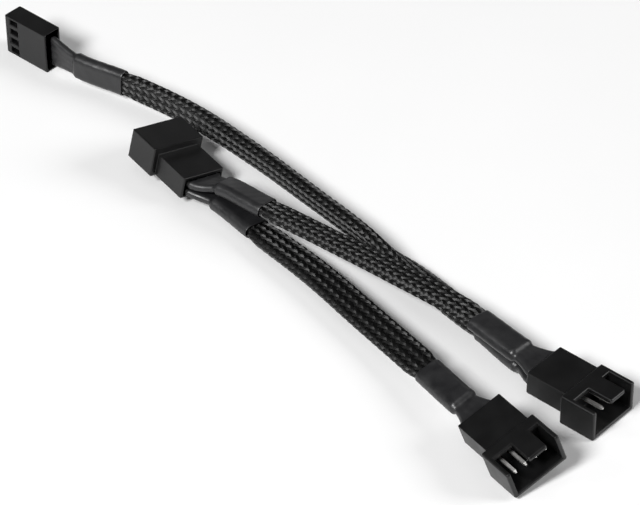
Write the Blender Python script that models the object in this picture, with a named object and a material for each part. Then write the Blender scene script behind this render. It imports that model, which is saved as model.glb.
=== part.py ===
"""Fan splitter cable: one four-way socket feeds three four-way plugs, through three sleeved cables in a row.

The cable lies on a flat surface. The socket stands on its narrow edge at the -X end. Cable 1 runs from it to
plug A at the +X end, cable 2 runs back from plug A to plug B, and cable 3 runs from plug B to plug C.
"""

import math

import bmesh
import bpy
from mathutils import Matrix, Vector

MM = 0.001

# Ways shared by every connector
WAYS = 4
WAY_PITCH = 2.54 * MM
FIT_CLEARANCE = 0.2 * MM
REST_GAP = 0.3 * MM

# Wires and the oval sleeve round them
WIRE_DIAMETER = 1.15 * MM
WIRE_PITCH_IN_SLEEVE = 1.3 * MM
SLEEVE_1_WIDTH = 6.4 * MM
SLEEVE_2_WIDTH = 6.4 * MM
SLEEVE_3_WIDTH = 6.9 * MM
SLEEVE_THICKNESS = 2.8 * MM
SLEEVE_WALL = 0.25 * MM

# Both ends of a sleeve, squeezed by the heat-shrink
SQUEEZED_WIDTH = 5.8 * MM
SQUEEZED_THICKNESS = 2.5 * MM
SWELL_LENGTH = 4.0 * MM

# Heat-shrink tubes over both ends of each sleeve
SHRINK_WALL = 0.2 * MM
SHRINK_CLEARANCE = 0.13 * MM
SHRINK_OVER_SLEEVE = 12.6 * MM
SHRINK_SHOULDER = 1.2 * MM
BARE_RUN_AT_PLUG = 6.3 * MM
BARE_RUN_AT_SOCKET = 8.6 * MM

# Spreading of the wires to the ways of a connector: 1 is straight, and more is steeper at the connector
FLARE_STEEPNESS = 1.35

# Plug housing: rear block, a little lower than the shroud, then the shroud with its roof and tongue
BLOCK_WIDTH = 10.7 * MM
BLOCK_HEIGHT = 5.6 * MM
BLOCK_LENGTH = 9.7 * MM
BLOCK_DROP = 0.25 * MM
SHROUD_WIDTH = 13.3 * MM
SHROUD_HEIGHT = 7.3 * MM
SHROUD_LENGTH = 8.5 * MM
SHROUD_WALL = 1.0 * MM
SHROUD_BACK_WALL = 1.2 * MM
ROOF_THICKNESS = 1.0 * MM
ROOF_LENGTH = 2.7 * MM
TONGUE_WIDTH = 4.6 * MM
TONGUE_CORNER = 0.35 * MM
TONGUE_OVER_WAY = 1
CHANNEL_WIDTH = WIRE_DIAMETER + 3 * FIT_CLEARANCE
CHANNEL_END_WALL = 1.6 * MM

# Post contacts of the plugs
POST_SIZE = 0.64 * MM
POST_DEPTH = 3.0 * MM
POST_REACH = 6.7 * MM
POST_TAPER = 0.5 * MM
CRIMP_LENGTH = 3.0 * MM
CRIMP_HEIGHT = 2.4 * MM

# Socket housing and its contacts
SOCKET_WIDTH = 10.2 * MM
SOCKET_THICKNESS = 4.9 * MM
SOCKET_LENGTH = 13.0 * MM
SOCKET_FRONT_WALL = 1.0 * MM
SOCKET_MOUTH = 1.1 * MM
SOCKET_CHANNEL = 1.9 * MM
SOCKET_RECESS_DEPTH = 3.0 * MM
SOCKET_RECESS_WALL = 0.8 * MM
WINDOW_FROM_FRONT = 1.5 * MM
WINDOW_LENGTH = 2.4 * MM
WINDOW_WIDTH = 1.4 * MM
RIB_WIDTH = 0.8 * MM
RIB_HEIGHT = 0.7 * MM
RIB_LENGTH = 8.5 * MM
CONTACT_LENGTH = 7.0 * MM
CONTACT_BORE = 0.9 * MM
CONTACT_BORE_DEPTH = 5.0 * MM

# Where the connectors lie: the step of a plug, or the front of the socket, and the way each one faces
PLUG_A_PLACE = (72.0 * MM, -1.9 * MM)
PLUG_A_TURN = math.radians(0.0)
PLUG_B_PLACE = (-41.9 * MM, -1.3 * MM)
PLUG_B_TURN = math.radians(169.2)
PLUG_B_ROLL = math.radians(191.2)
PLUG_B_NOSE_UP = math.radians(4.5)
PLUG_C_PLACE = (72.1 * MM, -25.65 * MM)
PLUG_C_TURN = math.radians(-14.3)
PLUG_C_ROLL = math.radians(18.1)
PLUG_C_NOSE_UP = math.radians(3.4)
SOCKET_PLACE = (-103.4 * MM, 7.0 * MM)

# Chosen points of each route between its two connectors: x, y and z in mm, and the lean in degrees of the
# row of wires, where 90 stands it on edge and 180 lays it flat
ROUTE_1 = (
    (-82, 9.1, 5.0, 90), (-70, 11.4, 4.7, 88), (-50, 13.6, 4.0, 86), (-30, 12.5, 3.6, 92),
    (-10, 9.8, 3.5, 97), (8, 7.3, 3.4, 107), (20, 6.1, 2.6, 150), (32, 4.2, 1.8, 176),
    (45, 2.0, 1.8, 180), (56.5, -0.6, 2.0, 180),
)
ROUTE_2 = (
    (-25.5, -2.0, 5.8, 169), (-14, -2.1, 6.3, 170), (0, -1.2, 6.2, 170), (20, -0.2, 6.1, 170),
    (40, 0.5, 5.7, 174), (56.5, -1.6, 5.6, 180),
)
ROUTE_3 = (
    (-25.5, -3.2, 2.2, 171), (-12, -5.4, 2.3, 176), (5, -8.0, 2.7, 185), (25, -12.6, 3.3, 195),
    (43, -16.9, 4.0, 198), (56.5, -20.8, 5.1, 198),
)
STATION_SPACING = 4.0 * MM
FLARE_STATION_SPACING = 2.4 * MM
STATION_TOLERANCE = 0.03 * MM
DIRECTION_STEP = 0.1 * MM
END_ARC_STEPS = 4

# Sizes that follow from those above
WIRE_RADIUS = WIRE_DIAMETER / 2
SHRINK_BUILD_UP = 2 * (SHRINK_CLEARANCE + SHRINK_WALL)
SHRINK_THICKNESS_ON_WIRES = WIRE_DIAMETER + SHRINK_BUILD_UP
STACK_OFFSET = (SHRINK_THICKNESS_ON_WIRES + REST_GAP) / 2
CHANNEL_HEIGHT = 2 * STACK_OFFSET + WIRE_DIAMETER + 2 * FIT_CLEARANCE
CRIMP_WIDTH = CHANNEL_WIDTH - 2 * FIT_CLEARANCE
CRIMP_FRONT = CHANNEL_END_WALL + FIT_CLEARANCE
WIRE_END_IN_PLUG = CRIMP_FRONT + CRIMP_LENGTH + REST_GAP
CONTACT_SIZE = SOCKET_CHANNEL - 2 * FIT_CLEARANCE
CONTACT_FRONT = SOCKET_FRONT_WALL + FIT_CLEARANCE
WIRE_END_IN_SOCKET = CONTACT_FRONT + CONTACT_LENGTH + REST_GAP
OVERCUT = 1.0 * MM


def way_offset(way, pitch=WAY_PITCH):
    """Distance of one way from the middle of the row."""
    return (way - (WAYS - 1) / 2) * pitch


def make_material(name, colour, roughness, metallic=0.0):
    material = bpy.data.materials.new(name)
    material.use_nodes = True
    shader = material.node_tree.nodes["Principled BSDF"]
    shader.inputs["Base Color"].default_value = (*colour, 1.0)
    shader.inputs["Roughness"].default_value = roughness
    shader.inputs["Metallic"].default_value = metallic
    return material


def make_object(name, data, material=None):
    thing = bpy.data.objects.new(name, data)
    bpy.context.scene.collection.objects.link(thing)
    if material is not None:
        data.materials.append(material)
    return thing


def add_block(shape, low, high):
    """Adds a rectangular block between two opposite corners."""
    size = Vector(high) - Vector(low)
    middle = (Vector(high) + Vector(low)) / 2
    place = Matrix.Translation(middle) @ Matrix.Diagonal((*size, 1.0))
    bmesh.ops.create_cube(shape, size=1.0, matrix=place)


def mesh_from(shape, name):
    mesh = bpy.data.meshes.new(name)
    bmesh.ops.recalc_face_normals(shape, faces=shape.faces)
    shape.to_mesh(mesh)
    shape.free()
    return mesh


def block_mesh(name, low, high):
    shape = bmesh.new()
    add_block(shape, low, high)
    return mesh_from(shape, name)


def prism_mesh(name, outline, bottom, top):
    """Extrudes a flat outline upward from one height to another."""
    shape = bmesh.new()
    corners = [shape.verts.new((x, y, bottom)) for x, y in outline]
    face = shape.faces.new(corners)
    raised = bmesh.ops.extrude_face_region(shape, geom=[face])
    upper = [item for item in raised["geom"] if isinstance(item, bmesh.types.BMVert)]
    bmesh.ops.translate(shape, verts=upper, vec=(0, 0, top - bottom))
    return mesh_from(shape, name)


def combine(target, operation, mesh):
    """Adds a mesh to an object, or cuts it away, with a Boolean that stays on the object."""
    tool = make_object(mesh.name, mesh)
    tool.hide_render = True
    tool.display_type = "WIRE"
    tool.parent = target
    boolean = target.modifiers.new(mesh.name, "BOOLEAN")
    boolean.operation = operation
    boolean.solver = "EXACT"
    boolean.object = tool


# Plug, drawn with +Y the way it plugs in, +Z its tongue side and its origin on the shroud's top rear edge


def plug_block_middle():
    return -BLOCK_HEIGHT / 2


def build_plug_housing(name, material):
    half_shroud = SHROUD_WIDTH / 2
    half_cavity = half_shroud - SHROUD_WALL
    half_block = BLOCK_WIDTH / 2
    floor = -SHROUD_HEIGHT + SHROUD_WALL
    shell = block_mesh(name, (-half_shroud, 0, -SHROUD_HEIGHT), (half_shroud, SHROUD_LENGTH, 0))
    housing = make_object(name, shell, material)

    block = block_mesh(
        name + "_block",
        (-half_block, -BLOCK_LENGTH, -BLOCK_HEIGHT),
        (half_block, SHROUD_BACK_WALL / 2, -BLOCK_DROP),
    )
    combine(housing, "UNION", block)

    cavity = block_mesh(
        name + "_cavity",
        (-half_cavity, SHROUD_BACK_WALL, floor),
        (half_cavity, SHROUD_LENGTH + OVERCUT, -ROOF_THICKNESS),
    )
    combine(housing, "DIFFERENCE", cavity)

    for number, side in enumerate((-1, 1)):
        tongue_side = way_offset(TONGUE_OVER_WAY) + side * TONGUE_WIDTH / 2
        corner = tongue_side - side * TONGUE_CORNER
        outline = [
            (side * half_cavity, ROOF_LENGTH),
            (tongue_side, ROOF_LENGTH),
            (tongue_side, SHROUD_LENGTH - TONGUE_CORNER),
            (corner, SHROUD_LENGTH),
            (corner, SHROUD_LENGTH + OVERCUT),
            (side * half_cavity, SHROUD_LENGTH + OVERCUT),
        ]
        notch = prism_mesh(f"{name}_notch_{number + 1}", outline, -ROOF_THICKNESS - OVERCUT, OVERCUT)
        combine(housing, "DIFFERENCE", notch)

    middle = plug_block_middle()
    hole = POST_SIZE / 2 + FIT_CLEARANCE
    for way in range(WAYS):
        x = way_offset(way)
        channel = block_mesh(
            f"{name}_channel_{way + 1}",
            (x - CHANNEL_WIDTH / 2, -BLOCK_LENGTH - OVERCUT, middle - CHANNEL_HEIGHT / 2),
            (x + CHANNEL_WIDTH / 2, -CHANNEL_END_WALL, middle + CHANNEL_HEIGHT / 2),
        )
        combine(housing, "DIFFERENCE", channel)
        post_hole = block_mesh(
            f"{name}_post_hole_{way + 1}",
            (x - hole, -CHANNEL_END_WALL - OVERCUT, -POST_DEPTH - hole),
            (x + hole, SHROUD_BACK_WALL + OVERCUT, -POST_DEPTH + hole),
        )
        combine(housing, "DIFFERENCE", post_hole)
    return housing


def build_post_contact(name, way, material):
    """One metal piece: a square post with a tapered tip, and the crimp behind it."""
    half = POST_SIZE / 2
    x = way_offset(way)
    shape = bmesh.new()
    low = (x - half, -CRIMP_FRONT - OVERCUT, -POST_DEPTH - half)
    high = (x + half, POST_REACH, -POST_DEPTH + half)
    add_block(shape, low, high)
    tip = [vert for vert in shape.verts if vert.co.y > 0]
    tip_face = next(face for face in shape.faces if all(vert in tip for vert in face.verts))
    pulled = bmesh.ops.extrude_face_region(shape, geom=[tip_face])
    end = [item for item in pulled["geom"] if isinstance(item, bmesh.types.BMVert)]
    bmesh.ops.delete(shape, geom=[tip_face], context="FACES")
    for vert in tip:
        vert.co.y = POST_REACH - POST_TAPER
    middle = Vector((x, POST_REACH, -POST_DEPTH))
    for vert in end:
        vert.co = middle + (vert.co - middle) / 2
    contact = make_object(name, mesh_from(shape, name), material)

    crimp_middle = plug_block_middle()
    crimp = block_mesh(
        name + "_crimp",
        (x - CRIMP_WIDTH / 2, -CRIMP_FRONT - CRIMP_LENGTH, crimp_middle - CRIMP_HEIGHT / 2),
        (x + CRIMP_WIDTH / 2, -CRIMP_FRONT, crimp_middle + CRIMP_HEIGHT / 2),
    )
    combine(contact, "UNION", crimp)
    return contact


def plug_matrix(place, turn, roll=0.0, nose_up=0.0):
    """Placement of a plug that faces one way and rests its lowest corner on the surface."""
    tilt = Matrix.Rotation(turn - math.pi / 2, 4, "Z") @ Matrix.Rotation(nose_up, 4, "X")
    tilt = tilt @ Matrix.Rotation(roll, 4, "Y")
    half_shroud = SHROUD_WIDTH / 2
    half_block = BLOCK_WIDTH / 2
    corners = [
        Vector((side * half_shroud, along, height))
        for side in (-1, 1)
        for along in (0, SHROUD_LENGTH)
        for height in (-SHROUD_HEIGHT, 0)
    ]
    corners += [
        Vector((side * half_block, along, height))
        for side in (-1, 1)
        for along in (-BLOCK_LENGTH, 0)
        for height in (-BLOCK_HEIGHT, -BLOCK_DROP)
    ]
    lowest = min((tilt @ corner).z for corner in corners)
    return Matrix.Translation((*place, -lowest)) @ tilt


def build_plug(letter, matrix, plastic, metal):
    pieces = [build_plug_housing(f"plug_{letter}_housing", plastic)]
    for way in range(WAYS):
        pieces.append(build_post_contact(f"plug_{letter}_contact_{way + 1}", way, metal))
    for piece in pieces:
        piece.matrix_world = matrix
    return pieces


# Socket, drawn with +Y the way it plugs in, its windows facing -X and its width standing up


def build_socket_housing(name, material):
    middle = SOCKET_THICKNESS / 2
    body = block_mesh(name, (0, -SOCKET_LENGTH, 0), (SOCKET_THICKNESS, 0, SOCKET_WIDTH))
    housing = make_object(name, body, material)
    tongue_height = SOCKET_WIDTH / 2 + way_offset(TONGUE_OVER_WAY)
    for number, side in enumerate((-1, 1)):
        inner = tongue_height + side * (TONGUE_WIDTH / 2 + FIT_CLEARANCE)
        outer = inner + side * RIB_WIDTH
        rib = block_mesh(
            f"{name}_rib_{number + 1}",
            (SOCKET_THICKNESS - OVERCUT / 2, -RIB_LENGTH, min(inner, outer)),
            (SOCKET_THICKNESS + RIB_HEIGHT, -FIT_CLEARANCE, max(inner, outer)),
        )
        combine(housing, "UNION", rib)
    half_row = way_offset(WAYS - 1) + SOCKET_CHANNEL / 2
    recess_front = SOCKET_LENGTH - SOCKET_RECESS_DEPTH
    recess = block_mesh(
        name + "_recess",
        (SOCKET_RECESS_WALL, -SOCKET_LENGTH - OVERCUT, SOCKET_WIDTH / 2 - half_row),
        (SOCKET_THICKNESS - SOCKET_RECESS_WALL, -recess_front, SOCKET_WIDTH / 2 + half_row),
    )
    combine(housing, "DIFFERENCE", recess)
    for way in range(WAYS):
        z = SOCKET_WIDTH / 2 + way_offset(way)
        cuts = {
            "channel": (
                (middle - SOCKET_CHANNEL / 2, -SOCKET_LENGTH - OVERCUT, z - SOCKET_CHANNEL / 2),
                (middle + SOCKET_CHANNEL / 2, -SOCKET_FRONT_WALL, z + SOCKET_CHANNEL / 2),
            ),
            "mouth": (
                (middle - SOCKET_MOUTH / 2, -SOCKET_FRONT_WALL - OVERCUT, z - SOCKET_MOUTH / 2),
                (middle + SOCKET_MOUTH / 2, OVERCUT, z + SOCKET_MOUTH / 2),
            ),
            "window": (
                (-OVERCUT, -WINDOW_FROM_FRONT - WINDOW_LENGTH, z - WINDOW_WIDTH / 2),
                (middle, -WINDOW_FROM_FRONT, z + WINDOW_WIDTH / 2),
            ),
        }
        for label, corners in cuts.items():
            cut = block_mesh(f"{name}_{label}_{way + 1}", *corners)
            combine(housing, "DIFFERENCE", cut)
    return housing


def build_socket_contact(name, way, material):
    """One metal box contact, open at the front to take a post."""
    middle = SOCKET_THICKNESS / 2
    z = SOCKET_WIDTH / 2 + way_offset(way)
    half = CONTACT_SIZE / 2
    bore = CONTACT_BORE / 2
    body = block_mesh(
        name,
        (middle - half, -CONTACT_FRONT - CONTACT_LENGTH, z - half),
        (middle + half, -CONTACT_FRONT, z + half),
    )
    contact = make_object(name, body, material)
    hole = block_mesh(
        name + "_bore",
        (middle - bore, -CONTACT_FRONT - CONTACT_BORE_DEPTH, z - bore),
        (middle + bore, -CONTACT_FRONT + OVERCUT, z + bore),
    )
    combine(contact, "DIFFERENCE", hole)
    return contact


def build_socket(matrix, plastic, metal):
    pieces = [build_socket_housing("socket_housing", plastic)]
    for way in range(WAYS):
        pieces.append(build_socket_contact(f"socket_contact_{way + 1}", way, metal))
    for piece in pieces:
        piece.matrix_world = matrix
    return pieces


# Cables


def knot_slopes(values, knots):
    """Slope of a smooth curve at each knot, from the straight runs on both sides of it."""
    runs = [
        (after - before) / (far - near)
        for before, after, near, far in zip(values, values[1:], knots, knots[1:])
    ]
    slopes = [runs[0]]
    for index in range(1, len(values) - 1):
        back = knots[index] - knots[index - 1]
        ahead = knots[index + 1] - knots[index]
        slopes.append((runs[index - 1] * ahead + runs[index] * back) / (back + ahead))
    return [*slopes, runs[-1]]


def smooth_value(values, slopes, knots, place):
    """Value at one place of the cubic curve with the given values and slopes at the knots."""
    span = 0
    while span < len(knots) - 2 and place > knots[span + 1]:
        span += 1
    length = knots[span + 1] - knots[span]
    t = (place - knots[span]) / length
    start_weight = 2 * t**3 - 3 * t**2 + 1
    start_pull = (t**3 - 2 * t**2 + t) * length
    end_pull = (t**3 - t**2) * length
    return (
        values[span] * start_weight
        + values[span + 1] * (1 - start_weight)
        + slopes[span] * start_pull
        + slopes[span + 1] * end_pull
    )


class Cable:
    """Centre line of one cable, with the lean of its row of wires, from wire end to wire end."""

    def __init__(self, start, route, end, sleeve_width):
        """start and end each hold the wire end, the rear face, and the lean, bare run and recess there."""
        self.sleeve_width = sleeve_width
        start_inside, start_exit, start_lean, bare_start, start_recess = start
        end_inside, end_exit, end_lean, bare_end, end_recess = end
        chosen = [Vector(point[:3]) * MM for point in route]
        self.points = [start_inside, start_exit, *chosen, end_exit, end_inside]
        leans = [start_lean, start_lean, *(point[3] for point in route), end_lean, end_lean]
        self.leans = [math.radians(lean) for lean in leans]
        self.knots = [0.0]
        for before, after in zip(self.points, self.points[1:]):
            self.knots.append(self.knots[-1] + (after - before).length)
        self.slopes = knot_slopes(self.points, self.knots)
        self.slopes[:2] = [(start_exit - start_inside).normalized()] * 2
        self.slopes[-2:] = [(end_inside - end_exit).normalized()] * 2
        self.lean_slopes = knot_slopes(self.leans, self.knots)
        self.exit_start = self.knots[1]
        self.exit_end = self.knots[-2]
        self.ways_start = self.exit_start - start_recess
        self.ways_end = self.exit_end + end_recess
        self.sleeve_start = self.exit_start + bare_start
        self.sleeve_end = self.exit_end - bare_end
        self.shrink_start = self.sleeve_start + SHRINK_OVER_SLEEVE
        self.shrink_end = self.sleeve_end - SHRINK_OVER_SLEEVE
        self.stations = self.make_stations()

    def centre(self, place):
        return smooth_value(self.points, self.slopes, self.knots, place)

    def frame(self, place):
        """Centre, direction across the row of wires, and direction through it."""
        ahead = min(place + DIRECTION_STEP, self.knots[-1])
        behind = max(place - DIRECTION_STEP, 0.0)
        along = (self.centre(ahead) - self.centre(behind)).normalized()
        level = Vector((0, 0, 1)).cross(along).normalized()
        upright = along.cross(level)
        lean = smooth_value(self.leans, self.lean_slopes, self.knots, place)
        across = level * math.cos(lean) + upright * math.sin(lean)
        return self.centre(place), across, along.cross(across)

    def make_stations(self):
        """Places shared by the wires, sleeve and heat-shrinks, so that their gaps stay even."""
        marks = [
            0.0,
            self.ways_start,
            self.exit_start,
            self.exit_start + REST_GAP,
            self.sleeve_start - SHRINK_SHOULDER,
            self.sleeve_start,
            self.shrink_start,
            self.shrink_start + SWELL_LENGTH,
            self.shrink_end - SWELL_LENGTH,
            self.shrink_end,
            self.sleeve_end,
            self.sleeve_end + SHRINK_SHOULDER,
            self.exit_end - REST_GAP,
            self.exit_end,
            self.ways_end,
            self.knots[-1],
        ]
        places = [marks[0]]
        for before, after in zip(marks, marks[1:]):
            if after - before < STATION_TOLERANCE:
                continue
            on_sleeve = self.over_sleeve(before) and self.over_sleeve(after)
            spacing = STATION_SPACING if on_sleeve else FLARE_STATION_SPACING
            count = max(1, round((after - before) / spacing))
            places += [before + (after - before) * (part + 1) / count for part in range(count)]
        return places

    def between(self, first, last):
        return [
            place for place in self.stations
            if first - STATION_TOLERANCE <= place <= last + STATION_TOLERANCE
        ]

    def over_sleeve(self, place):
        return self.sleeve_start - STATION_TOLERANCE <= place <= self.sleeve_end + STATION_TOLERANCE

    def sleeve_section(self, place):
        """Width and thickness of the sleeve, which swells beyond the heat-shrink at both ends."""
        swell = min(place - self.shrink_start, self.shrink_end - place) / SWELL_LENGTH
        swell = min(max(swell, 0.0), 1.0)
        width = SQUEEZED_WIDTH + (self.sleeve_width - SQUEEZED_WIDTH) * swell
        thickness = SQUEEZED_THICKNESS + (SLEEVE_THICKNESS - SQUEEZED_THICKNESS) * swell
        return width, thickness

    def wire_pitch(self, place):
        """Spacing of the wires, which spread from the sleeve's end to the ways of the connector."""
        narrow_start = self.sleeve_start - SHRINK_SHOULDER
        narrow_end = self.sleeve_end + SHRINK_SHOULDER
        spread_start = (narrow_start - place) / (narrow_start - self.ways_start)
        spread_end = (place - narrow_end) / (self.ways_end - narrow_end)
        spread = min(max(spread_start, spread_end, 0.0), 1.0) ** FLARE_STEEPNESS
        return WIRE_PITCH_IN_SLEEVE + (WAY_PITCH - WIRE_PITCH_IN_SLEEVE) * spread


def oval_ring(cable, place, width, thickness):
    """Corners of a flat-sided oval with round ends, square to the cable."""
    centre, across, through = cable.frame(place)
    radius = thickness / 2
    reach = width / 2 - radius
    ring = []
    for side in (1, -1):
        for step in range(END_ARC_STEPS + 1):
            angle = math.pi * (step / END_ARC_STEPS - 0.5)
            along_width = side * (reach + radius * math.cos(angle))
            along_thickness = side * radius * math.sin(angle)
            ring.append(centre + across * along_width + through * along_thickness)
    return ring


def build_oval_tube(name, cable, sections, wall, material):
    """Hollow oval tube through sections, each a place, an outer width and an outer thickness."""
    shape = bmesh.new()
    outer_rings = []
    inner_rings = []
    for place, width, thickness in sections:
        outer = oval_ring(cable, place, width, thickness)
        inner = oval_ring(cable, place, width - 2 * wall, thickness - 2 * wall)
        outer_rings.append([shape.verts.new(corner) for corner in outer])
        inner_rings.append([shape.verts.new(corner) for corner in inner])
    count = len(outer_rings[0])

    def skin(first, second):
        for index in range(count):
            after = (index + 1) % count
            shape.faces.new((first[index], first[after], second[after], second[index]))

    for rings in (outer_rings, inner_rings):
        for first, second in zip(rings, rings[1:]):
            skin(first, second)
    skin(outer_rings[0], inner_rings[0])
    skin(outer_rings[-1], inner_rings[-1])
    return make_object(name, mesh_from(shape, name), material)


def build_sleeve(number, cable, material):
    places = cable.between(cable.sleeve_start, cable.sleeve_end)
    sections = [(place, *cable.sleeve_section(place)) for place in places]
    build_oval_tube(f"sleeve_{number}", cable, sections, SLEEVE_WALL, material)


def build_shrink(name, cable, first, last, material):
    """Heat-shrink tube: narrow and flared over the wires, and stepped out over the end of the sleeve."""
    sections = []
    for place in cable.between(first, last):
        if cable.over_sleeve(place):
            width = SQUEEZED_WIDTH + SHRINK_BUILD_UP
            thickness = SQUEEZED_THICKNESS + SHRINK_BUILD_UP
        else:
            width = (WAYS - 1) * cable.wire_pitch(place) + WIRE_DIAMETER + SHRINK_BUILD_UP
            thickness = SHRINK_THICKNESS_ON_WIRES
        sections.append((place, width, thickness))
    build_oval_tube(name, cable, sections, SHRINK_WALL, material)


def build_wire(name, cable, way, material):
    curve = bpy.data.curves.new(name, "CURVE")
    curve.dimensions = "3D"
    curve.bevel_depth = WIRE_RADIUS
    curve.bevel_resolution = 2
    curve.use_fill_caps = True
    spline = curve.splines.new("POLY")
    spline.points.add(len(cable.stations) - 1)
    for point, place in zip(spline.points, cable.stations):
        centre, across, _ = cable.frame(place)
        point.co = (*(centre + across * way_offset(way, cable.wire_pitch(place))), 1.0)
    return make_object(name, curve, material)


def build_cable(number, cable, start_name, end_name, materials):
    sleeve_material, shrink_material, wire_material = materials
    build_sleeve(number, cable, sleeve_material)
    first = cable.exit_start + REST_GAP
    last = cable.exit_end - REST_GAP
    build_shrink(f"shrink_{number}_{start_name}", cable, first, cable.shrink_start, shrink_material)
    build_shrink(f"shrink_{number}_{end_name}", cable, cable.shrink_end, last, shrink_material)
    for way in range(WAYS):
        build_wire(f"cable_{number}_wire_{way + 1}", cable, way, wire_material)


def plug_cable_end(matrix, height, lean):
    """End of a cable that leaves a plug at a height from the middle of its block."""
    middle = plug_block_middle() + height
    inside = matrix @ Vector((0, -WIRE_END_IN_PLUG, middle))
    rear = matrix @ Vector((0, -BLOCK_LENGTH, middle))
    return inside, rear, lean, BARE_RUN_AT_PLUG, 0.0


def socket_cable_end(matrix, lean):
    inside = matrix @ Vector((SOCKET_THICKNESS / 2, -WIRE_END_IN_SOCKET, SOCKET_WIDTH / 2))
    rear = matrix @ Vector((SOCKET_THICKNESS / 2, -SOCKET_LENGTH, SOCKET_WIDTH / 2))
    return inside, rear, lean, BARE_RUN_AT_SOCKET, SOCKET_RECESS_DEPTH


def centre_on_origin(connectors):
    """Moves everything so that the bottom middle of the box round the four connectors is at the origin."""
    bpy.context.view_layer.update()
    low = Vector((math.inf,) * 3)
    high = Vector((-math.inf,) * 3)
    graph = bpy.context.evaluated_depsgraph_get()
    for piece in connectors:
        solid = piece.evaluated_get(graph)
        mesh = solid.to_mesh()
        for vert in mesh.vertices:
            corner = solid.matrix_world @ vert.co
            low = Vector(map(min, low, corner))
            high = Vector(map(max, high, corner))
        solid.to_mesh_clear()
    shift = Vector((-(low.x + high.x) / 2, -(low.y + high.y) / 2, -low.z))
    for piece in bpy.context.scene.objects:
        if not piece.hide_render:
            piece.matrix_world = Matrix.Translation(shift) @ piece.matrix_world


def main():
    for thing in list(bpy.data.objects):
        bpy.data.objects.remove(thing)

    plastic = make_material("black_plastic", (0.012, 0.012, 0.013), 0.5)
    metal = make_material("tinned_metal", (0.75, 0.75, 0.74), 0.25, 1.0)
    weave = make_material("woven_sleeve", (0.01, 0.01, 0.01), 0.55)
    shrink = make_material("heat_shrink", (0.02, 0.02, 0.021), 0.4)
    insulation = make_material("wire_insulation", (0.01, 0.01, 0.01), 0.45)

    plug_a = plug_matrix(PLUG_A_PLACE, PLUG_A_TURN)
    plug_b = plug_matrix(PLUG_B_PLACE, PLUG_B_TURN, PLUG_B_ROLL, PLUG_B_NOSE_UP)
    plug_c = plug_matrix(PLUG_C_PLACE, PLUG_C_TURN, PLUG_C_ROLL, PLUG_C_NOSE_UP)
    socket = Matrix.Translation((*SOCKET_PLACE, 0)) @ Matrix.Rotation(math.pi / 2, 4, "Z")
    connectors = build_plug("a", plug_a, plastic, metal)
    connectors += build_plug("b", plug_b, plastic, metal)
    connectors += build_plug("c", plug_c, plastic, metal)
    connectors += build_socket(socket, plastic, metal)

    lean_b = 360 - math.degrees(PLUG_B_ROLL)
    lean_c = 180 + math.degrees(PLUG_C_ROLL)
    cables = (
        ("socket", socket_cable_end(socket, 90), ROUTE_1,
         "plug_a", plug_cable_end(plug_a, -STACK_OFFSET, 180), SLEEVE_1_WIDTH),
        ("plug_b", plug_cable_end(plug_b, -STACK_OFFSET, lean_b), ROUTE_2,
         "plug_a", plug_cable_end(plug_a, STACK_OFFSET, 180), SLEEVE_2_WIDTH),
        ("plug_b", plug_cable_end(plug_b, STACK_OFFSET, lean_b), ROUTE_3,
         "plug_c", plug_cable_end(plug_c, 0, lean_c), SLEEVE_3_WIDTH),
    )
    for number, (start_name, start, route, end_name, end, sleeve_width) in enumerate(cables, start=1):
        cable = Cable(start, route, end, sleeve_width)
        build_cable(number, cable, start_name, end_name, (weave, shrink, insulation))
    centre_on_origin(connectors)


main()
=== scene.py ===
"""Fan splitter cable on a pale floor: dressed connectors, woven sleeves and heat-shrinks."""

import math

import bmesh
import bpy
import numpy as np
from mathutils import Matrix, Vector


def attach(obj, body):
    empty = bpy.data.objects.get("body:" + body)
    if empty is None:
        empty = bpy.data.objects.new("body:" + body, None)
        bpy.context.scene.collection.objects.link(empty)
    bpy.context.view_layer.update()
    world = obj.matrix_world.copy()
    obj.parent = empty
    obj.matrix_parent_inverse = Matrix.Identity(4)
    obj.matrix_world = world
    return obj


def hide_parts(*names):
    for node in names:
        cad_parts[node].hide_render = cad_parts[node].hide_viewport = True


MM = 0.001
UV_NAME = "weave"

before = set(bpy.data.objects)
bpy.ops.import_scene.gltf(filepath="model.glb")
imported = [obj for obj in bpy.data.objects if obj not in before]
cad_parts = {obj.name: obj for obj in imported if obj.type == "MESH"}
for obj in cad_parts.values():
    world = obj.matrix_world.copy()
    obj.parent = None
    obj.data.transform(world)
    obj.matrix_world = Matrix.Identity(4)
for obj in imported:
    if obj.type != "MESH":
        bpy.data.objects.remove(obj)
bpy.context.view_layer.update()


def add_object(name, data):
    thing = bpy.data.objects.new(name, data)
    bpy.context.scene.collection.objects.link(thing)
    return thing


# Camera, which looks at a point of the floor under the middle cable

CAMERA_AIM = Vector((10.338, 10.651, 0.0)) * MM
CAMERA_AZIMUTH = math.radians(42.1)
CAMERA_ELEVATION = math.radians(39.305)
CAMERA_ROLL = math.radians(-0.414)
CAMERA_DISTANCE = 687.79 * MM
CAMERA_LENS = 181.03
CAMERA_SENSOR = 36.0
CAMERA_CLIP = (0.05, 50.0)


def make_camera():
    data = bpy.data.cameras.new("camera")
    data.lens = CAMERA_LENS
    data.sensor_width = CAMERA_SENSOR
    data.clip_start, data.clip_end = CAMERA_CLIP
    camera = add_object("camera", data)
    level = math.cos(CAMERA_ELEVATION)
    back = Vector((
        math.sin(CAMERA_AZIMUTH) * level, -math.cos(CAMERA_AZIMUTH) * level, math.sin(CAMERA_ELEVATION)
    ))
    turned = back.to_track_quat("Z", "Y").to_matrix().to_4x4() @ Matrix.Rotation(CAMERA_ROLL, 4, "Z")
    camera.matrix_world = Matrix.Translation(CAMERA_AIM + back * CAMERA_DISTANCE) @ turned
    bpy.context.scene.camera = camera


make_camera()

# Cable routes and sizes in mm

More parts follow.
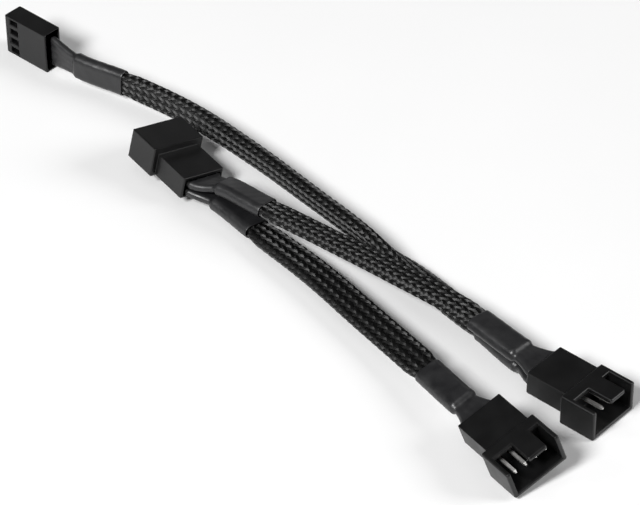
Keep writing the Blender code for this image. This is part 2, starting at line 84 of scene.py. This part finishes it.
# Each point has x, y, z and the lean in degrees of the row of wires. The first and last points are the
# wires' ends in the connectors, and the points next to them are on the connectors' rear faces
ROUTES = {
    1: (
        (-84.56, 20.10, 5.10, 90), (-80.06, 20.10, 5.10, 90), (-71.66, 19.75, 5.00, 90),
        (-59.66, 22.05, 4.70, 88), (-39.66, 24.25, 4.00, 86), (-19.66, 23.15, 3.60, 92),
        (0.34, 20.45, 3.50, 97), (18.34, 17.95, 3.40, 107), (30.34, 16.75, 2.60, 150),
        (42.34, 14.85, 1.80, 176), (55.34, 12.65, 1.80, 180), (66.84, 10.05, 2.00, 180),
        (72.64, 8.75, 3.45, 180), (77.24, 8.75, 3.45, 180),
    ),
    2: (
        (-26.14, 9.08, 4.92, 168.8), (-21.63, 8.22, 4.56, 168.8), (-15.16, 8.65, 5.80, 169),
        (-3.66, 8.55, 6.30, 170), (10.34, 9.45, 6.20, 170), (30.34, 10.45, 6.10, 170),
        (50.34, 11.15, 5.70, 174), (66.84, 9.05, 5.60, 180), (72.64, 8.75, 5.56, 180),
        (77.24, 8.75, 5.56, 180),
    ),
    3: (
        (-26.37, 8.71, 2.86, 168.8), (-21.87, 7.85, 2.50, 168.8), (-15.16, 7.45, 2.20, 171),
        (-1.66, 5.25, 2.30, 176), (15.34, 2.65, 2.70, 185), (35.34, -1.95, 3.30, 195),
        (53.34, -6.25, 4.00, 198), (66.84, -10.15, 5.10, 198), (73.42, -11.80, 5.76, 198.1),
        (77.87, -12.94, 6.03, 198.1),
    ),
}
TABLE_STEP = 0.1
SLEEVE_WIDTH = {1: 6.4, 2: 6.4, 3: 6.9}
SLEEVE_THICKNESS = 2.8
SQUEEZED_WIDTH = 5.8
SQUEEZED_THICKNESS = 2.5
SWELL_LENGTH = 4.0
SHRINK_OVER_SLEEVE = 12.6
SHRINK_SHOULDER = 1.2
SHRINK_BUILD_UP = 0.66
SHRINK_WALL = 0.2
BARE_RUN = {"socket": 8.6, "plug": 6.3}
RECESS = {"socket": 3.0, "plug": 0.0}
WIRE_DIAMETER = 1.15
WAYS = 4
WAY_PITCH = 2.54
WIRE_PITCH_IN_SLEEVE = 1.3
FLARE_STEEPNESS = 1.35
REST_GAP = 0.3


def unit(vectors):
    return vectors / np.linalg.norm(vectors, axis=-1, keepdims=True)


def ease(share):
    """Smooth rise from 0 to 1 while a share goes from 0 to 1."""
    share = np.clip(share, 0.0, 1.0)
    return share * share * (3 - 2 * share)


def knot_slopes(values, knots):
    """Slope at each knot, from the runs before and after it."""
    runs = np.diff(values, axis=0) / np.diff(knots)[:, None]
    back = np.diff(knots)[:-1, None]
    ahead = np.diff(knots)[1:, None]
    inner = (runs[:-1] * ahead + runs[1:] * back) / (back + ahead)
    return np.vstack([runs[:1], inner, runs[-1:]])


def curve_through(values, slopes, knots, table):
    """Smooth curve with a value and a slope at each knot, read at the places of a table."""
    span = np.clip(np.searchsorted(knots, table, side="right") - 1, 0, len(knots) - 2)
    run = np.diff(knots)[span][:, None]
    t = (table - knots[span])[:, None] / run
    first = 2 * t**3 - 3 * t**2 + 1
    return (
        values[span] * first + values[span + 1] * (1 - first)
        + slopes[span] * (t**3 - 2 * t**2 + t) * run + slopes[span + 1] * (t**3 - t**2) * run
    )


class Route:
    """Centre line of a cable in mm and the directions of its section, tabulated in small steps."""

    def __init__(self, points, start_kind, sleeve_width):
        points = np.array(points, float)
        places = points[:, :3]
        leans = np.radians(points[:, 3:])
        knots = np.concatenate([[0.0], np.cumsum(np.linalg.norm(np.diff(places, axis=0), axis=1))])
        slopes = knot_slopes(places, knots)
        slopes[:2] = unit(places[1] - places[0])
        slopes[-2:] = unit(places[-1] - places[-2])
        self.table = np.arange(0.0, knots[-1], TABLE_STEP)
        self.centres = curve_through(places, slopes, knots, self.table)
        lean = curve_through(leans, knot_slopes(leans, knots), knots, self.table)
        along = unit(np.gradient(self.centres, axis=0))
        level = unit(np.cross([0.0, 0.0, 1.0], along))
        upright = np.cross(along, level)
        self.across = level * np.cos(lean) + upright * np.sin(lean)
        self.through = np.cross(along, self.across)
        self.sleeve_width = sleeve_width
        self.exit_start = knots[1]
        self.exit_end = knots[-2]
        self.sleeve_start = self.exit_start + BARE_RUN[start_kind]
        self.sleeve_end = self.exit_end - BARE_RUN["plug"]
        self.shrink_start = self.sleeve_start + SHRINK_OVER_SLEEVE
        self.shrink_end = self.sleeve_end - SHRINK_OVER_SLEEVE

    def frame(self, place):
        """Centre, direction across the width and direction through the thickness at each place."""
        return [
            np.stack([np.interp(place, self.table, column) for column in rows.T], axis=-1)
            for rows in (self.centres, self.across, self.through)
        ]

    def rings(self, place, x, y):
        """Points at x across the width and y through the thickness of the section at each place."""
        centre, across, through = self.frame(place)
        return centre[:, None] + across[:, None] * x[..., None] + through[:, None] * y[..., None]

    def sleeve_section(self, place):
        """Width and thickness of the sleeve, which is squeezed inside the heat-shrinks."""
        swell = ease(np.minimum(place - self.shrink_start, self.shrink_end - place) / SWELL_LENGTH)
        width = SQUEEZED_WIDTH + (self.sleeve_width - SQUEEZED_WIDTH) * swell
        thickness = SQUEEZED_THICKNESS + (SLEEVE_THICKNESS - SQUEEZED_THICKNESS) * swell
        return width, thickness


def oval_point(turn, width, thickness):
    """Point and outward normal of a flat-sided oval at a share of the way round, from one flat's middle."""
    radius = thickness / 2
    reach = width / 2 - radius
    flat = 2 * reach
    arc = math.pi * radius
    perimeter = 2 * flat + 2 * arc
    walked = (turn % 1.0) * perimeter
    side = np.where(walked < perimeter / 2, 1.0, -1.0)
    walked = np.where(walked < perimeter / 2, walked, walked - perimeter / 2)
    on_first = walked < reach
    on_arc = (walked >= reach) & (walked < reach + arc)
    angle = np.clip((walked - reach) / radius, 0.0, math.pi)
    on_last = flat + arc - walked
    x = np.where(on_first, walked, np.where(on_arc, reach + radius * np.sin(angle), on_last))
    y = np.where(on_first, radius, np.where(on_arc, radius * np.cos(angle), -radius))
    nx = np.where(on_arc, np.sin(angle), 0.0)
    ny = np.where(on_first, 1.0, np.where(on_arc, np.cos(angle), -1.0))
    return side * x, side * y, side * nx, side * ny


def add_piece(name, mesh):
    thing = add_object(name, mesh)
    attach(thing, "root")
    return thing


def paint(mesh, material):
    mesh.materials.clear()
    mesh.materials.append(material)


def grid_faces(rows, columns, first, flip=False):
    """Quads of a grid of points, closed round its columns."""
    row, column = np.meshgrid(np.arange(rows - 1), np.arange(columns), indexing="ij")
    after = (column + 1) % columns
    quads = np.stack([
        row * columns + column, row * columns + after,
        (row + 1) * columns + after, (row + 1) * columns + column,
    ], axis=-1).reshape(-1, 4) + first
    return (quads[:, ::-1] if flip else quads).tolist()


def bar_faces(rows, columns, first):
    """Faces of a closed bar: its sides and both ends."""
    end = first + (rows - 1) * columns
    ends = [list(range(first + columns - 1, first - 1, -1)), list(range(end, end + columns))]
    return grid_faces(rows, columns, first) + ends


def mesh_of(name, points, faces, materials, indices=None, uvs=None):
    """Smooth mesh from points in mm, with a material index for each face and a uv for each point."""
    mesh = bpy.data.meshes.new(name)
    mesh.from_pydata((points * MM).tolist(), [], faces)
    for material in materials:
        mesh.materials.append(material)
    if indices is not None:
        mesh.polygons.foreach_set("material_index", np.array(indices, np.int32))
    mesh.polygons.foreach_set("use_smooth", np.ones(len(mesh.polygons), bool))
    if uvs is not None:
        layer = mesh.uv_layers.new(name=UV_NAME)
        corner = np.empty(len(mesh.loops), np.int32)
        mesh.loops.foreach_get("vertex_index", corner)
        layer.data.foreach_set("uv", uvs[corner].astype(np.float32).ravel())
    mesh.update()
    return mesh


# Materials, with noise scales in waves per mm and bump distances in mm

NOISE_LOW = 0.3
NOISE_HIGH = 0.7
FILAMENTS = 4


def node_material(name, colour, roughness, metallic=0.0, specular=0.5):
    material = bpy.data.materials.new(name)
    material.use_nodes = True
    tree = material.node_tree
    shader = tree.nodes["Principled BSDF"]
    shader.inputs["Base Color"].default_value = (*colour, 1.0)
    shader.inputs["Roughness"].default_value = roughness
    shader.inputs["Metallic"].default_value = metallic
    shader.inputs["Specular IOR Level"].default_value = specular
    return material, tree, shader


def add_noise(tree, scale, detail=2.0, stretch=None):
    """Noise in object coordinates."""
    coordinates = tree.nodes.new("ShaderNodeTexCoord")
    noise = tree.nodes.new("ShaderNodeTexNoise")
    noise.inputs["Scale"].default_value = scale / MM
    noise.inputs["Detail"].default_value = detail
    source = coordinates.outputs["Object"]
    if stretch is not None:
        mapping = tree.nodes.new("ShaderNodeMapping")
        mapping.inputs["Scale"].default_value = stretch
        tree.links.new(source, mapping.inputs["Vector"])
        source = mapping.outputs["Vector"]
    tree.links.new(source, noise.inputs["Vector"])
    return noise.outputs["Fac"]


def add_math(tree, operation, first, second=None):
    node = tree.nodes.new("ShaderNodeMath")
    node.operation = operation
    tree.links.new(first, node.inputs[0])
    if second is not None:
        node.inputs[1].default_value = second
    return node.outputs["Value"]


def vary_roughness(tree, shader, noise, low, high):
    """Lets the roughness follow a noise between two values."""
    node = tree.nodes.new("ShaderNodeMapRange")
    node.inputs["From Min"].default_value = NOISE_LOW
    node.inputs["From Max"].default_value = NOISE_HIGH
    node.inputs["To Min"].default_value = low
    node.inputs["To Max"].default_value = high
    tree.links.new(noise, node.inputs["Value"])
    tree.links.new(node.outputs["Result"], shader.inputs["Roughness"])


def vary_colour(tree, shader, noise, low, high):
    """Lets the base colour follow a noise between two colours."""
    ramp = tree.nodes.new("ShaderNodeValToRGB")
    for element, position, colour in zip(ramp.color_ramp.elements, (NOISE_LOW, NOISE_HIGH), (low, high)):
        element.position = position
        element.color = (*colour, 1.0)
    tree.links.new(noise, ramp.inputs["Fac"])
    tree.links.new(ramp.outputs["Color"], shader.inputs["Base Color"])


def add_bump(tree, shader, height, strength, distance, before=None):
    bump = tree.nodes.new("ShaderNodeBump")
    bump.inputs["Strength"].default_value = strength
    bump.inputs["Distance"].default_value = distance * MM
    tree.links.new(height, bump.inputs["Height"])
    if before is not None:
        tree.links.new(before, bump.inputs["Normal"])
    tree.links.new(bump.outputs["Normal"], shader.inputs["Normal"])
    return bump.outputs["Normal"]


def make_plastic():
    """Black moulded plastic with a fine spark-eroded grain."""
    material, tree, shader = node_material(
        "moulded_plastic", colour=(0.004, 0.004, 0.0042), roughness=0.38, specular=0.42
    )
    broad = add_noise(tree, scale=0.25)
    vary_colour(tree, shader, broad, low=(0.0032, 0.0032, 0.0034), high=(0.005, 0.005, 0.0052))
    vary_roughness(tree, shader, broad, low=0.35, high=0.42)
    add_bump(tree, shader, add_noise(tree, scale=7.0), strength=0.15, distance=0.01)
    return material


def make_metal():
    """Bright tin plate with faint drawing lines."""
    material, tree, shader = node_material(
        "tin_plate", colour=(0.9, 0.89, 0.87), roughness=0.47, metallic=1.0
    )
    lines = add_noise(tree, scale=6.0, stretch=(0.1, 1.0, 1.0))
    vary_colour(
        tree, shader, add_noise(tree, scale=0.6), low=(0.87, 0.86, 0.84), high=(0.95, 0.94, 0.92)
    )
    vary_roughness(tree, shader, lines, low=0.4, high=0.54)
    add_bump(tree, shader, lines, strength=0.2, distance=0.01)
    return material


def make_insulation():
    """Smooth black wire insulation."""
    material, tree, shader = node_material(
        "wire_insulation", colour=(0.008, 0.008, 0.008), roughness=0.45
    )
    broad = add_noise(tree, scale=0.5)
    vary_colour(tree, shader, broad, low=(0.006, 0.006, 0.006), high=(0.011, 0.011, 0.011))
    vary_roughness(tree, shader, broad, low=0.38, high=0.5)
    add_bump(tree, shader, add_noise(tree, scale=3.0, detail=3.0), strength=0.15, distance=0.02)
    return material


def make_film():
    """Satin black film, drawn tight, with fine creases."""
    material, tree, shader = node_material(
        "shrink_film", colour=(0.014, 0.014, 0.015), roughness=0.4, specular=0.6
    )
    broad = add_noise(tree, scale=0.35, detail=3.0)
    vary_colour(tree, shader, broad, low=(0.011, 0.011, 0.012), high=(0.018, 0.018, 0.019))
    vary_roughness(tree, shader, broad, low=0.34, high=0.47)
    creases = add_bump(
        tree, shader, add_noise(tree, scale=1.6, detail=4.0), strength=0.5, distance=0.06
    )
    add_bump(tree, shader, add_noise(tree, scale=9.0), strength=0.2, distance=0.015, before=creases)
    return material


def make_yarn():
    """Black yarn: each strand is a flat bundle of shiny filaments that run along it."""
    material, tree, shader = node_material(
        "black_yarn", colour=(0.002, 0.002, 0.002), roughness=0.54, specular=0.72
    )
    shader.inputs["Anisotropic"].default_value = 1.0
    sideways = tree.nodes.new("ShaderNodeTangent")
    sideways.direction_type = "UV_MAP"
    sideways.uv_map = UV_NAME
    tree.links.new(sideways.outputs["Tangent"], shader.inputs["Tangent"])
    uv = tree.nodes.new("ShaderNodeUVMap")
    uv.uv_map = UV_NAME
    split = tree.nodes.new("ShaderNodeSeparateXYZ")
    tree.links.new(uv.outputs["UV"], split.inputs["Vector"])
    angle = add_math(tree, "MULTIPLY", split.outputs["X"], 2 * math.pi * FILAMENTS)
    wave = add_math(tree, "COSINE", angle)
    fine = add_noise(tree, scale=4.0)
    vary_colour(
        tree, shader, add_noise(tree, scale=0.5, detail=3.0),
        low=(0.001, 0.001, 0.001), high=(0.003, 0.003, 0.003),
    )
    vary_roughness(tree, shader, fine, low=0.5, high=0.58)
    filaments = add_bump(tree, shader, wave, strength=0.3, distance=0.012)
    add_bump(tree, shader, fine, strength=0.2, distance=0.02, before=filaments)
    return material


def make_shade_core():
    """Near-black dull sheet under the strands, in place of the black wires inside but darker and duller
    than they are: painted shade in the gaps between the strands.
    """
    material, tree, shader = node_material(
        "painted_shade_core", colour=(0.001, 0.001, 0.001), roughness=0.85, specular=0.1
    )
    grain = add_noise(tree, scale=1.5, detail=3.0)
    vary_colour(tree, shader, grain, low=(0.0008, 0.0008, 0.0008), high=(0.0015, 0.0015, 0.0015))
    vary_roughness(tree, shader, grain, low=0.7, high=0.9)
    add_bump(tree, shader, grain, strength=0.5, distance=0.05)
    return material


plastic = make_plastic()
metal = make_metal()
insulation = make_insulation()
film = make_film()
yarn = make_yarn()
# Near-black sheet of painted shade for the gaps between the strands
shade_core = make_shade_core()

# Woven sleeves: strands wind both ways round an oval, each over two and under two, over a near-black sheet
# of painted shade that darkens the gaps

STRANDS_EACH_WAY = 16
STRAND_ANGLE = math.radians(26.3)
STRAND_WIDTH = 0.7
STRAND_CROWN = 0.21
STRAND_PROFILE = ((-1.0, -0.3), (-0.72, 0.78), (0.0, 1.0), (0.72, 0.78), (1.0, -0.3), (0.0, -0.8))
STRAND_STEP = 0.35
WEAVE_HEIGHT = 0.12
WEAVE_SHARPNESS = 1.2
WEAVE_SHIFT = 0.25
# Depth, step and columns of the near-black sheet of painted shade under the strands
SHADE_CORE_DEPTH = 0.42
SHADE_CORE_STEP = 1.0
SHADE_CORE_COLUMNS = 32


def strand_points(route, number, direction, places):
    """Rings of points along one strand, which winds one way round the sleeve."""
    width, thickness = route.sleeve_section(places)
    inset = 2 * (WEAVE_HEIGHT + STRAND_CROWN)
    perimeter = 2 * (route.sleeve_width - SLEEVE_THICKNESS) + math.pi * SLEEVE_THICKNESS
    turns_per_mm = direction * math.tan(STRAND_ANGLE) / perimeter
    turn = number / STRANDS_EACH_WAY + turns_per_mm * (places - route.sleeve_start)
    x, y, nx, ny = oval_point(turn, width - inset, thickness - inset)
    wave = np.cos(math.pi * (STRANDS_EACH_WAY * turn - WEAVE_SHIFT))
    lift = direction * WEAVE_HEIGHT * np.tanh(WEAVE_SHARPNESS * wave) / math.tanh(WEAVE_SHARPNESS)
    centre, across, through = route.frame(places)
    outward = across * nx[:, None] + through * ny[:, None]
    middle = centre + across * x[:, None] + through * y[:, None] + outward * lift[:, None]
    along = unit(np.gradient(middle, axis=0))
    sideways = unit(np.cross(outward, along))
    up = np.cross(along, sideways)
    ring = [
        middle + sideways * aside * STRAND_WIDTH / 2 + up * height * STRAND_CROWN
        for aside, height in STRAND_PROFILE
    ]
    return np.stack(ring, axis=1)


def make_sleeve(number, route):
    points, faces, uvs = [], [], []
    count = 0
    corners = len(STRAND_PROFILE)
    across_strand = [(aside + 1) / 2 for aside, _ in STRAND_PROFILE]
    length = route.sleeve_end - route.sleeve_start
    places = np.linspace(route.sleeve_start, route.sleeve_end, int(length / STRAND_STEP))
    across, along = np.meshgrid(across_strand, places)
    strand_uvs = np.stack([across, along], axis=-1).reshape(-1, 2)
    for direction in (1, -1):
        for strand in range(STRANDS_EACH_WAY):
            points.append(strand_points(route, strand, direction, places).reshape(-1, 3))
            faces += bar_faces(len(places), corners, count)
            uvs.append(strand_uvs)
            count += len(places) * corners
    indices = [0] * len(faces)
    # Near-black sheet under the strands, painted shade for the gaps between them
    places = np.append(np.arange(route.sleeve_start, route.sleeve_end, SHADE_CORE_STEP), route.sleeve_end)
    width, thickness = route.sleeve_section(places)
    turn = np.arange(SHADE_CORE_COLUMNS) / SHADE_CORE_COLUMNS
    inset = 2 * SHADE_CORE_DEPTH
    x, y, _, _ = oval_point(turn[None, :], (width - inset)[:, None], (thickness - inset)[:, None])
    points.append(route.rings(places, x, y).reshape(-1, 3))
    uvs.append(np.zeros((len(places) * SHADE_CORE_COLUMNS, 2)))
    shade_core_faces = bar_faces(len(places), SHADE_CORE_COLUMNS, count)
    faces += shade_core_faces
    indices += [1] * len(shade_core_faces)
    name = f"woven_sleeve_{number}"
    mesh = mesh_of(name, np.concatenate(points), faces, (yarn, shade_core), indices, np.concatenate(uvs))
    piece = add_piece(name, mesh)
    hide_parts(f"sleeve_{number}")
    return piece


# Heat-shrinks: flared and ribbed over the spread wires, stepped out over the sleeve, thin at the rim

SHRINK_STEP = 0.25
SHRINK_COLUMNS = 72
RIB_DEPTH = 0.09
RIB_SHARE_UNSPREAD = 0.35
RIB_FADE = 0.25
BUMP_HEIGHT = 0.09
BUMP_PLACE = 0.2
BUMP_LENGTH = 0.75
BUMP_SHARE_THROUGH = 0.5
RIM_LENGTH = 0.3
RIM_ROUNDING = 0.08
CREASE_DEPTH = 0.025
# Each crease is the product of two waves: its share, then for each wave its turns round the heat-shrink,
# its angle per mm along it and its shifts
CREASES = ((1.0, (2, 1.3, 1), (1, 0.9, 2)), (0.6, (5, -0.8, 1), (0, 2.1, 1)))
CREASE_SHIFT_BY_CABLE = 1.7
CREASE_SHIFT_AT_END = 2.3


def shrink_section(place, kind):
    """Width, thickness, rib depth and wire pitch at a distance from the connector's rear face."""
    bare = BARE_RUN[kind]
    narrow = bare - SHRINK_SHOULDER
    spread = np.clip((narrow - place) / (narrow + RECESS[kind]), 0.0, 1.0) ** FLARE_STEEPNESS
    pitch = WIRE_PITCH_IN_SLEEVE + (WAY_PITCH - WIRE_PITCH_IN_SLEEVE) * spread
    step = ease((place - narrow) / SHRINK_SHOULDER)
    bump = BUMP_HEIGHT * np.exp(-(((place - bare - BUMP_PLACE) / BUMP_LENGTH) ** 2))
    on_wires = (WAYS - 1) * pitch + WIRE_DIAMETER + SHRINK_BUILD_UP
    on_sleeve = SQUEEZED_WIDTH + SHRINK_BUILD_UP
    width = on_wires + (on_sleeve - on_wires) * step + bump
    thin = WIRE_DIAMETER + SHRINK_BUILD_UP
    thick = SQUEEZED_THICKNESS + SHRINK_BUILD_UP
    thickness = thin + (thick - thin) * step + bump * BUMP_SHARE_THROUGH
    ribs = RIB_DEPTH * (1 - step) * (RIB_SHARE_UNSPREAD + (1 - RIB_SHARE_UNSPREAD) * spread)
    return width, thickness, ribs, pitch


def surface_dip(x, ny, turn, places, section, shift):
    """How far the outside lies below a plain oval: ribs between the wires, creases and the thin rim."""
    _, _, ribs, pitch = section
    ways_off = x / pitch[:, None]
    between = np.sin(math.pi * (ways_off - 0.5)) ** 2
    inside = np.clip((WAYS / 2 - 0.5) - np.abs(ways_off), 0.0, RIB_FADE) / RIB_FADE
    angle = 2 * math.pi * turn[None, :]
    far = places[:, None]
    creases = 0.0
    for crease, *waves in CREASES:
        for turns, along, shifts in waves:
            crease = crease * np.sin(turns * angle + along * far + shifts * shift)
        creases = creases + crease
    rim = np.clip((places[-1] - places) / RIM_LENGTH, 0.0, 1.0)[:, None]
    rounding = RIM_ROUNDING * (1 - np.sqrt(1 - (1 - rim) ** 2))
    return ribs[:, None] * between * inside * np.abs(ny) + CREASE_DEPTH * creases + rounding


def make_shrink(number, route, kind, at_start, node):
    length = BARE_RUN[kind] + SHRINK_OVER_SLEEVE
    places = np.append(np.arange(REST_GAP, length, SHRINK_STEP), length)
    section = shrink_section(places, kind)
    width, thickness = section[:2]
    turn = np.arange(SHRINK_COLUMNS) / SHRINK_COLUMNS
    station = route.exit_start + places if at_start else route.exit_end - places
    shift = number * CREASE_SHIFT_BY_CABLE + (0.0 if at_start else CREASE_SHIFT_AT_END)
    x, y, nx, ny = oval_point(turn[None, :], width[:, None], thickness[:, None])
    dip = surface_dip(x, ny, turn, places, section, shift)
    outer = route.rings(station, x - nx * dip, y - ny * dip)
    walls = 2 * SHRINK_WALL
    x, y, _, _ = oval_point(turn[None, :], (width - walls)[:, None], (thickness - walls)[:, None])
    inner = route.rings(station, x, y)
    points = np.concatenate([outer.reshape(-1, 3), inner.reshape(-1, 3)])
    rows, columns = len(places), SHRINK_COLUMNS
    size = rows * columns
    faces = grid_faces(rows, columns, 0, flip=not at_start)
    faces += grid_faces(rows, columns, size, flip=at_start)
    for start in (0, size - columns):
        for column in range(columns):
            after = (column + 1) % columns
            quad = [start + column, start + after, size + start + after, size + start + column]
            faces.append(quad if (start > 0) == at_start else quad[::-1])
    name = node.replace("shrink", "heat_shrink")
    piece = add_piece(name, mesh_of(name, points, faces, (film,)))
    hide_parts(node)
    return piece


# The three cables, each from one connector to another

ENDS = {1: ("socket", "plug_a"), 2: ("plug_b", "plug_a"), 3: ("plug_b", "plug_c")}

for number, points in ROUTES.items():
    start_name, end_name = ENDS[number]
    start_kind = "socket" if start_name == "socket" else "plug"
    route = Route(points, start_kind, SLEEVE_WIDTH[number])
    sleeve = make_sleeve(number, route)
    first = make_shrink(number, route, start_kind, True, f"shrink_{number}_{start_name}")
    last = make_shrink(number, route, "plug", False, f"shrink_{number}_{end_name}")
    wires = [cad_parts[f"cable_{number}_wire_{way + 1}"] for way in range(WAYS)]
    for wire in wires:
        paint(wire.data, insulation)

# Connector housings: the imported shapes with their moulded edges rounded

# Radii in mm for edges of no outermost face, for edges of one, and by housing for edges of two
EDGE_RADIUS = 0.12
RIM_RADIUS = 0.3
OUTER_EDGE_RADIUS = {
    "socket_housing": 0.22,
    "plug_a_housing": 0.45,
    "plug_b_housing": 0.3,
    "plug_c_housing": 0.45,
}
EDGE_ANGLE = math.radians(30)
EDGE_SEGMENTS = 3
OUTER_FACE_DEPTH = 0.03
WELD_DISTANCE = 0.001
FLAT_ANGLE = math.radians(1)


def is_outer(face, corners):
    """Tells whether the whole shape lies behind a face's plane."""
    ahead = (corners - np.array(face.verts[0].co)) @ np.array(face.normal)
    return ahead.max() < OUTER_FACE_DEPTH * MM


def make_housing(node):
    """Copy of a packed housing with flat faces joined and its edges rounded, the outermost ones more."""
    shape = bmesh.new()
    shape.from_mesh(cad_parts[node].data)
    bmesh.ops.remove_doubles(shape, verts=shape.verts, dist=WELD_DISTANCE * MM)
    bmesh.ops.dissolve_limit(shape, angle_limit=FLAT_ANGLE, verts=shape.verts, edges=shape.edges)
    shape.normal_update()
    corners = np.array([vertex.co for vertex in shape.verts])
    outer = {face for face in shape.faces if is_outer(face, corners)}
    weight = shape.edges.layers.float.new("bevel_weight_edge")
    widest = OUTER_EDGE_RADIUS[node]
    radii = (EDGE_RADIUS, RIM_RADIUS, widest)
    for edge in shape.edges:
        if edge.calc_face_angle(0.0) > EDGE_ANGLE:
            edge[weight] = radii[len(outer.intersection(edge.link_faces))] / widest
    mesh = bpy.data.meshes.new("moulded_" + node)
    shape.to_mesh(mesh)
    shape.free()
    paint(mesh, plastic)
    piece = add_piece(mesh.name, mesh)
    bevel = piece.modifiers.new("edges", "BEVEL")
    bevel.width = widest * MM
    bevel.segments = EDGE_SEGMENTS
    bevel.limit_method = "WEIGHT"
    bevel.use_clamp_overlap = False
    bevel.harden_normals = True
    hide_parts(node)


for node in OUTER_EDGE_RADIUS:
    make_housing(node)
for name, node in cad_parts.items():
    if "contact" in name:
        paint(node.data, metal)

# Floor, lights and world

FLOOR_REACH = 3.0
FLOOR_DROP = 0.05 * MM
FLOOR_SQUARES = 8
# Places and sizes are in metres and powers in watts. Each light points at the middle of the floor
LIGHTS = {
    "key": {"place": (0.06, -1.30, 1.28), "size": 0.6, "power": 33.0},
    "overhead": {"place": (0.0, 0.0, 2.0), "size": 2.0, "power": 4.0},
    "left": {"place": (-0.94, -1.13, 1.03), "size": 0.4, "power": 2.0},
    "rim": {"place": (1.3, 0.98, 0.85), "size": 0.9, "power": 15.0},
    "backdrop": {"place": (-1.3, 1.5, 0.45), "size": 0.8, "power": 1.0},
}
WORLD_STRENGTH = 0.05


def make_floor():
    material, tree, shader = node_material(
        "pale_floor", colour=(0.96, 0.96, 0.96), roughness=0.7, specular=0.1
    )
    grain = add_noise(tree, scale=0.02)
    vary_colour(tree, shader, grain, low=(0.955, 0.955, 0.955), high=(0.97, 0.97, 0.97))
    shape = bmesh.new()
    bmesh.ops.create_grid(shape, x_segments=FLOOR_SQUARES, y_segments=FLOOR_SQUARES, size=FLOOR_REACH)
    mesh = bpy.data.meshes.new("floor")
    shape.to_mesh(mesh)
    shape.free()
    mesh.materials.append(material)
    floor = add_object("floor", mesh)
    floor.location.z = -FLOOR_DROP


def make_light(name, place, size, power):
    data = bpy.data.lights.new(name, "AREA")
    data.shape = "DISK"
    data.size = size
    data.energy = power
    light = add_object(name, data)
    light.location = place
    light.rotation_mode = "QUATERNION"
    light.rotation_quaternion = Vector(place).to_track_quat("Z", "Y")


def make_world():
    world = bpy.data.worlds.new("studio")
    world.use_nodes = True
    background = world.node_tree.nodes["Background"]
    background.inputs["Color"].default_value = (1.0, 1.0, 1.0, 1.0)
    background.inputs["Strength"].default_value = WORLD_STRENGTH
    bpy.context.scene.world = world


make_floor()
for name, light in LIGHTS.items():
    make_light(name, **light)
make_world()
bpy.context.scene.view_settings.view_transform = "Standard"
